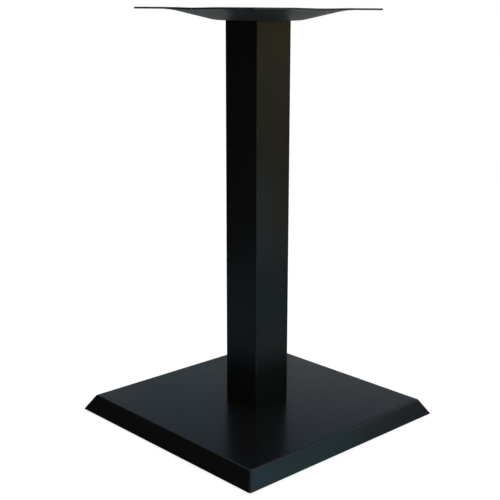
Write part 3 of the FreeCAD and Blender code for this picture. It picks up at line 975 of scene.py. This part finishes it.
def hole_drill(tree, radius):
    """Make the round core that one hole takes out."""
    core = {"Vertices": DRILL_SIDES, "Radius": radius, "Depth": DRILL_LENGTH}
    return add(tree, "GeometryNodeMeshCylinder", core)["Mesh"]


def four_around(tree, shape, radius):
    """Repeat a shape on the four diagonals round the upright axis."""
    square = add(tree, "GeometryNodeMeshCircle", {"Vertices": 4, "Radius": radius})["Mesh"]
    spots = {"Geometry": square, "Rotation": (0.0, 0.0, DIAGONAL)}
    placed = {"Points": add(tree, "GeometryNodeTransform", spots)[0], "Instance": shape}
    copies = add(tree, "GeometryNodeInstanceOnPoints", placed)[0]
    return add(tree, "GeometryNodeRealizeInstances", {"Geometry": copies})[0]


def drill_holes(tree, given, plate, lowest):
    """Take the holes for rod, screws and table top out of the plate."""
    drills = [hole_drill(tree, given["Rod Hole"])]
    around = (("Screw Hole", "Screw Circle", 1.0), ("Fixing Hole", "Fixing Offset", math.sqrt(2)))
    for size, where, factor in around:
        radius = sum_of(tree, "MULTIPLY", given[where], factor)
        drills.append(four_around(tree, hole_drill(tree, given[size]), radius))
    level = {"Geometry": join_shapes(tree, *drills), "Translation": point(tree, z=lowest)}
    placed = add(tree, "GeometryNodeTransform", level)[0]
    cut = tree.nodes.new("GeometryNodeMeshBoolean")
    cut.operation = "DIFFERENCE"
    cut.solver = "EXACT"
    tree.links.new(plate, cut.inputs["Mesh 1"])
    tree.links.new(placed, cut.inputs["Mesh 2"])
    return cut.outputs["Mesh"]


# %% [markdown]
# Now the plate is put together: slab, corners, dish, holes. The sizes are those of the model's
# plate in metres, with its top taken from the model itself.

# %% Top plate
PLATE = {
    "Side": 0.294, "Wall": 0.003, "Corner Radius": 0.003, "Top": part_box("top_plate")[1][2],
    "Rim Radius": 0.147, "Floor Radius": 0.071, "Depth": 0.01775, "Rim Bend": 0.130, "Floor Bend": 0.085,
    "Screw Circle": 0.027, "Screw Hole": 0.0035, "Rod Hole": 0.0065, "Fixing Offset": 0.125,
    "Fixing Hole": 0.00425, "Steps": 141,
}


def make_plate_tree(sizes):
    """Grow the plate: slab, rounded corners, dish and holes."""
    tree, given, result = new_tree("pressed_plate", sizes)
    slab = make_slab(tree, given)
    here = own_point(tree)
    flat = round_corners(tree, given, here)
    distance = flat_length(tree, *flat)
    under, over = (dish_height(tree, distance, face) for face in face_sizes(tree, given))
    lowest = sum_of(tree, "SUBTRACT", given["Top"], given["Wall"])
    height = choose(
        tree, sum_of(tree, "GREATER_THAN", here["Z"], 0.5),
        sum_of(tree, "ADD", under, lowest), sum_of(tree, "ADD", over, given["Top"]),
    )
    pressed = {"Geometry": slab, "Position": point(tree, *flat, height)}
    dish = add(tree, "GeometryNodeSetPosition", pressed)[0]
    finish_tree(tree, result, drill_holes(tree, given, dish, lowest), MATT_COAT)
    return tree


grow("top_plate_pressed", make_plate_tree(PLATE), "leg", "top_plate")


# %% [markdown]
# Heads, collars and balls of the fasteners are turned on a lathe, and their hexagons are milled
# or upset afterwards. One function does both: it turns a profile about the upright axis, and
# where a row names a width across flats, the ring is limited to that hexagon. A chamfered
# corner is then simply a ring that grows while the hexagon holds it back, as on a real nut.

# %% Turned shapes
TURNED_SIDES = 48


def ring_reach(radius, flats, angle):
    """Distance from the axis at an angle: a circle, cut down to a hexagon where flats are given."""
    if not flats:
        return radius
    corner = math.radians(60)
    return min(radius, flats / 2 / math.cos((angle + corner / 2) % corner - corner / 2))


def turned(name, rows):
    """Turn rows of (radius, height, width across flats or 0) about the upright axis."""
    shape = bmesh.new()
    rings = []
    for radius, height, flats in rows:
        if radius == 0:
            rings.append([shape.verts.new((0, 0, height))] * TURNED_SIDES)
            continue
        angles = [math.tau * i / TURNED_SIDES for i in range(TURNED_SIDES)]
        reach = [ring_reach(radius, flats, angle) for angle in angles]
        spots = [(far * math.cos(angle), far * math.sin(angle), height) for far, angle in zip(reach, angles)]
        rings.append([shape.verts.new(spot) for spot in spots])
    for low, high in zip(rings, rings[1:]):
        for i in range(TURNED_SIDES):
            after = (i + 1) % TURNED_SIDES
            corners = dict.fromkeys((low[i], low[after], high[after], high[i]))
            shape.faces.new(corners)
    bmesh.ops.recalc_face_normals(shape, faces=shape.faces)
    mesh = bpy.data.meshes.new(name)
    shape.to_mesh(mesh)
    shape.free()
    return mesh


def arc_rows(centre_r, centre_z, bend, first, last, steps, flats=0):
    """Rows along an arc of a profile, from one angle in degrees to another."""
    rows = []
    for i in range(steps + 1):
        angle = math.radians(first + (last - first) * i / steps)
        rows.append((centre_r + bend * math.cos(angle), centre_z + bend * math.sin(angle), flats))
    return rows


# %% [markdown]
# A thread is one groove wound round a rod, and it returns on the tie rod, the studs, the screws
# and the feet. Geometry Nodes winds it once for all of them. A grid is rolled round the axis: X
# counts the rows, Y goes once round. The rows are spent on the threaded ends only, so a long rod
# stays light.

# %% Rows of a rod
ROWS_A_TURN = 8


def lay_rows(tree, given):
    """Lay the grid; give it, the rows on each end, and each point's row and share of a turn."""
    rows = sum_of(tree, "DIVIDE", sum_of(tree, "MULTIPLY", given["Reach"], ROWS_A_TURN), given["Pitch"])
    rows = sum_of(tree, "ADD", sum_of(tree, "FLOOR", rows), 2.0)
    last = sum_of(tree, "MULTIPLY_ADD", rows, 2.0, 1.0)
    grid = {"Size X": last, "Size Y": 1.0, "Vertices X": sum_of(tree, "ADD", last, 1.0)}
    grid["Vertices Y"] = sum_of(tree, "ADD", given["Sides"], 1.0)
    sheet = add(tree, "GeometryNodeMeshGrid", grid)["Mesh"]
    here = own_point(tree)
    row = sum_of(tree, "MULTIPLY_ADD", last, 0.5, here["X"])
    from_top = sum_of(tree, "SUBTRACT", last, row)
    around = sum_of(tree, "ADD", here["Y"], 0.5)
    return sheet, rows, row, from_top, around


def row_heights(tree, given, rows, row, from_top):
    """Give each point's height, its way in from the nearer end, and its row from there."""
    from_end = sum_of(tree, "SUBTRACT", sum_of(tree, "MINIMUM", row, from_top), 1.0)
    step = sum_of(tree, "DIVIDE", given["Reach"], sum_of(tree, "SUBTRACT", rows, 1.0))
    along = sum_of(tree, "MULTIPLY", sum_of(tree, "MAXIMUM", from_end, 0.0), step)
    height = choose(
        tree, sum_of(tree, "LESS_THAN", row, from_top),
        sum_of(tree, "SUBTRACT", given["Top"], along), sum_of(tree, "ADD", given["Bottom"], along),
    )
    return height, along, from_end


# %% [markdown]
# Each point then sinks by where it stands in the thread's turn: flat on the crest, flat in the
# root, and straight on the flanks between. Towards a plain middle the groove runs out over one
# pitch, as it does where a die stops. Both ends are chamfered, and the very last row closes on
# the axis.

# %% Wind the thread
CREST_SHARE, ROOT_SHARE = 0.1, 0.9
SEAM = 1e-6


def wound_radius(tree, given, height, along, from_end, around):
    """Distance from the axis: the rod's radius less groove, chamfer and closed end."""
    turns = sum_of(tree, "DIVIDE", height, given["Pitch"])
    turn = sum_of(tree, "FRACT", sum_of(tree, "SUBTRACT", turns, around))
    crest = sum_of(tree, "ABSOLUTE", sum_of(tree, "MULTIPLY_ADD", turn, 2.0, -1.0))
    flank = {"Value": crest, "From Min": CREST_SHARE, "From Max": ROOT_SHARE, "To Min": 1.0, "To Max": 0.0}
    groove = add(tree, "ShaderNodeMapRange", flank)["Result"]
    left = sum_of(tree, "DIVIDE", sum_of(tree, "SUBTRACT", given["Reach"], along), given["Pitch"])
    everywhere = sum_of(tree, "SUBTRACT", 1.0, given["Plain Middle"])
    left = sum_of(tree, "MAXIMUM", sum_of(tree, "MINIMUM", left, 1.0), everywhere)
    sunk = sum_of(tree, "MULTIPLY", sum_of(tree, "MULTIPLY", groove, left), given["Depth"])
    radius = sum_of(tree, "SUBTRACT", given["Radius"], sunk)
    end = sum_of(tree, "ADD", sum_of(tree, "SUBTRACT", given["Radius"], given["Chamfer"]), along)
    radius = sum_of(tree, "MINIMUM", radius, end)
    return sum_of(tree, "MULTIPLY", radius, sum_of(tree, "GREATER_THAN", from_end, -0.5))


def on_circle(tree, radius, angle, height=0.0):
    """Give a point by its radius, its angle round the axis and its height."""
    across = sum_of(tree, "MULTIPLY", radius, sum_of(tree, "COSINE", angle))
    deep = sum_of(tree, "MULTIPLY", radius, sum_of(tree, "SINE", angle))
    return point(tree, across, deep, height)


def wind_rod(tree, given):
    """Roll the grid into a closed rod with its thread."""
    sheet, rows, row, from_top, around = lay_rows(tree, given)
    height, along, from_end = row_heights(tree, given, rows, row, from_top)
    radius = wound_radius(tree, given, height, along, from_end, around)
    rolled = on_circle(tree, radius, sum_of(tree, "MULTIPLY", around, math.tau), height)
    rod = add(tree, "GeometryNodeSetPosition", {"Geometry": sheet, "Position": rolled})[0]
    rod = add(tree, "GeometryNodeFlipFaces", {"Mesh": rod})[0]
    return add(tree, "GeometryNodeMergeByDistance", {"Geometry": rod, "Distance": SEAM})[0]


# %% [markdown]
# The tree takes a turned head, joins it to the rod and repeats the whole on a circle, because
# such fasteners come in fours: one tree, many screws.

# %% Fastener tree
THREAD = {
    "Bottom": 0.0, "Top": 0.01, "Radius": 0.003, "Pitch": 0.001, "Depth": 0.0006, "Reach": 0.005,
    "Plain Middle": 0.0, "Chamfer": 0.0005, "Circle": 0.0, "Turn": 0.0, "Count": 1, "Sides": 24,
}


def make_fastener_tree(sizes):
    """Wind a thread round a rod, join a head to it and repeat it on a circle."""
    tree, given, result = new_tree("threaded_fastener", sizes, "Head")
    whole = join_shapes(tree, given["Head"], wind_rod(tree, given))
    share = sum_of(tree, "DIVIDE", add(tree, "GeometryNodeInputIndex", {})[0], given["Count"])
    bearing = sum_of(tree, "MULTIPLY_ADD", share, math.tau, given["Turn"])
    spot = on_circle(tree, given["Circle"], bearing)
    spots = add(tree, "GeometryNodePoints", {"Count": given["Count"], "Position": spot})[0]
    copies = {"Points": spots, "Instance": whole, "Rotation": point(tree, z=bearing)}
    placed = add(tree, "GeometryNodeInstanceOnPoints", copies)[0]
    flat = add(tree, "GeometryNodeRealizeInstances", {"Geometry": placed})[0]
    finish_tree(tree, result, flat, ZINC_PLATE)
    return tree


FASTENER = make_fastener_tree(THREAD)
print("tree", FASTENER.name)


# %% [markdown]
# The tie rod runs through the whole leg and clamps it. It is threaded at both ends and plain
# between, so its groove runs out. The four studs under the cover are threaded all the way and
# stand on a circle. Lengths come from the model; thread depths are those of standard threads.

# %% Tie rod and cover studs
def levels(node):
    """Lowest and highest point of a node of the model."""
    low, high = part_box(node)
    return low[2], high[2]


bottom, top = levels("tie_rod")
grow(
    "tie_rod_threaded", FASTENER, "leg", "tie_rod", Bottom=bottom, Top=top, Radius=0.006, Pitch=0.00175,
    Depth=0.00107, Reach=0.032, Plain_Middle=1.0, Chamfer=0.001,
)
bottom, top = levels("cover_studs")
grow(
    "cover_studs_threaded", FASTENER, "leg", "cover_studs", Bottom=bottom, Top=top, Radius=0.003, Pitch=0.001,
    Depth=0.00061, Reach=(top - bottom) / 2, Chamfer=0.0006, Circle=0.140, Count=4,
)


# %% [markdown]
# The screws of the two pans have low round heads with a hexagon socket, which a fitter can reach
# with a key past the tie rod. The head's outline is a few turned rows: down into the socket, out
# over its lip, round the shoulder and back under the seat.

# %% Pan screws
SCREW = {"Radius": 0.003, "Pitch": 0.001, "Depth": 0.00061, "Chamfer": 0.0006}
HEAD_RADIUS, HEAD_HEIGHT, HEAD_BEND = 0.0055, 0.0036, 0.0021
SOCKET_FLATS, SOCKET_DEPTH, SOCKET_LIP = 0.004, 0.0022, 0.0024
SCREW_CIRCLE = PLATE["Screw Circle"]
EDGE_BREAK = 0.0002
OVERLAP = 0.0001


def screw_head(name, seat):
    """Turn a low round head with its hexagon socket; the seat is the height it clamps at."""
    top = seat + HEAD_HEIGHT
    rows = [(0, top - SOCKET_DEPTH, 0), (SOCKET_FLATS, top - SOCKET_DEPTH, SOCKET_FLATS)]
    rows += [(SOCKET_FLATS, top - EDGE_BREAK, SOCKET_FLATS), (SOCKET_LIP, top, 0)]
    rows += arc_rows(HEAD_RADIUS - HEAD_BEND, top - HEAD_BEND, HEAD_BEND, 90, 0, 8)
    rows += [(HEAD_RADIUS, seat + EDGE_BREAK, 0), (HEAD_RADIUS - EDGE_BREAK, seat, 0), (0, seat, 0)]
    return turned(name, rows)


for node in ("upper_locator_screws", "lower_locator_screws"):
    bottom, top = levels(node)
    seat = top - HEAD_HEIGHT
    grow(
        node + "_socket", FASTENER, "leg", node, start=screw_head(node + "_head", seat), Bottom=bottom,
        Top=seat + OVERLAP, Reach=(seat - bottom) / 2, Circle=SCREW_CIRCLE, Turn=DIAGONAL,
        Count=4, **SCREW,
    )


# %% [markdown]
# A levelling foot's stem is turned in one piece: the ball that swivels in the pad, a slim neck, a
# hexagon collar for the spanner and the threaded shank. The head comes from the lathe and the
# shank from the tree. Each stem rides on its own body.

# %% Levelling stems
STEM = {"Radius": 0.004, "Pitch": 0.00125, "Depth": 0.00077, "Chamfer": 0.0008}
BALL_RADIUS, BALL_HEIGHT, NECK_RADIUS = 0.0038, 0.0055, 0.0025
COLLAR_FLATS, COLLAR_FOOT, COLLAR_TOP = 0.013, 0.0103, 0.0143
COLLAR_FACE = 0.96 * COLLAR_FLATS / 2
CHAMFER_ROWS, CHAMFER_OUT, CHAMFER_UP = 5, 0.0004, 0.00023
FOOT_OFFSET = 0.170


def stem_head(name):
    """Turn the ball, the neck and the hexagon collar of a levelling stem."""
    rows = [(0, BALL_HEIGHT - BALL_RADIUS, 0)]
    neck_angle = math.degrees(math.acos(NECK_RADIUS / BALL_RADIUS))
    rows += arc_rows(0, BALL_HEIGHT, BALL_RADIUS, -80, neck_angle, 16)
    rows += [(NECK_RADIUS, COLLAR_FOOT, 0)]
    grown = [(COLLAR_FACE + CHAMFER_OUT * i, CHAMFER_UP * i) for i in range(CHAMFER_ROWS)]
    rows += [(radius, COLLAR_FOOT + rise, COLLAR_FLATS) for radius, rise in grown]
    rows += [(radius, COLLAR_TOP - rise, COLLAR_FLATS) for radius, rise in reversed(grown)]
    rows += [(0, COLLAR_TOP, 0)]
    return turned(name, rows)


for number, quarter in ((1, 225), (2, 315), (3, 45), (4, 135)):
    node = f"foot_stem_{number}"
    top = levels(node)[1]
    grow(
        node + "_threaded", FASTENER, f"stem_{number}", node, start=stem_head(node + "_head"),
        Bottom=COLLAR_TOP - OVERLAP, Top=top, Reach=(top - COLLAR_TOP) / 2,
        Circle=FOOT_OFFSET * math.sqrt(2), Turn=math.radians(quarter), **STEM,
    )


# %% [markdown]
# The feet are moulded in one shot: a broad rim, a cone up to the snap mouth, and the socket in
# which the ball sits. The sole is recessed and carries three fine rings, which keep the leg
# from creeping on a smooth floor. All of it is round, so the lathe function makes it, and one
# is shifted under each corner.

# %% Foot pads
PAD = {"rim": 0.017, "rim_height": 0.004, "neck": 0.008, "height": 0.009, "mouth": 0.0032, "edge": 0.0008}
NECK_BEND, RIM_BEND = 0.0006, 0.0009
SOCKET_RADIUS = 0.004
SOLE_RADIUS, SOLE_DEPTH = 0.012, 0.0008
GRIP_RINGS = (0.0095, 0.0068, 0.0041)
RING_FOOT, RING_HEAD, RING_RISE = 0.0007, 0.0003, 0.0005


def pad_rows():
    """Profile of a foot pad, from the bottom of its socket round the outside to the sole."""
    mouth_angle = math.degrees(math.acos(PAD["mouth"] / SOCKET_RADIUS))
    rows = [(0, BALL_HEIGHT - SOCKET_RADIUS, 0)]
    rows += arc_rows(0, BALL_HEIGHT, SOCKET_RADIUS, -80, mouth_angle, 14)
    rows += [(PAD["mouth"], PAD["height"] - PAD["edge"], 0), (PAD["mouth"] + PAD["edge"], PAD["height"], 0)]
    rows += arc_rows(PAD["neck"] - NECK_BEND, PAD["height"] - NECK_BEND, NECK_BEND, 90, 40, 4)
    rows += arc_rows(PAD["rim"] - RIM_BEND, PAD["rim_height"] - RIM_BEND, RIM_BEND, 55, 0, 5)
    rows += arc_rows(PAD["rim"] - PAD["edge"], PAD["edge"], PAD["edge"], 0, -90, 5)
    rows += [(SOLE_RADIUS + SOLE_DEPTH, 0, 0), (SOLE_RADIUS, SOLE_DEPTH, 0)]
    for ring in GRIP_RINGS:
        rows += [(ring + RING_FOOT, SOLE_DEPTH, 0), (ring + RING_HEAD, SOLE_DEPTH - RING_RISE, 0)]
        rows += [(ring - RING_HEAD, SOLE_DEPTH - RING_RISE, 0), (ring - RING_FOOT, SOLE_DEPTH, 0)]
    return rows + [(0, SOLE_DEPTH, 0)]


for number in range(1, 5):
    node = f"foot_pad_{number}"
    low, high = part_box(node)
    piece = new_object(node + "_moulded", turned(node + "_moulded", pad_rows()))
    piece.data.transform(Matrix.Translation(((low[0] + high[0]) / 2, (low[1] + high[1]) / 2, 0)))
    shade_round(piece.data)
    piece.data.materials.append(BLACK_NYLON)
    settle(piece, f"pad_{number}", node)
print("pads", len(piece.data.polygons), "faces each")
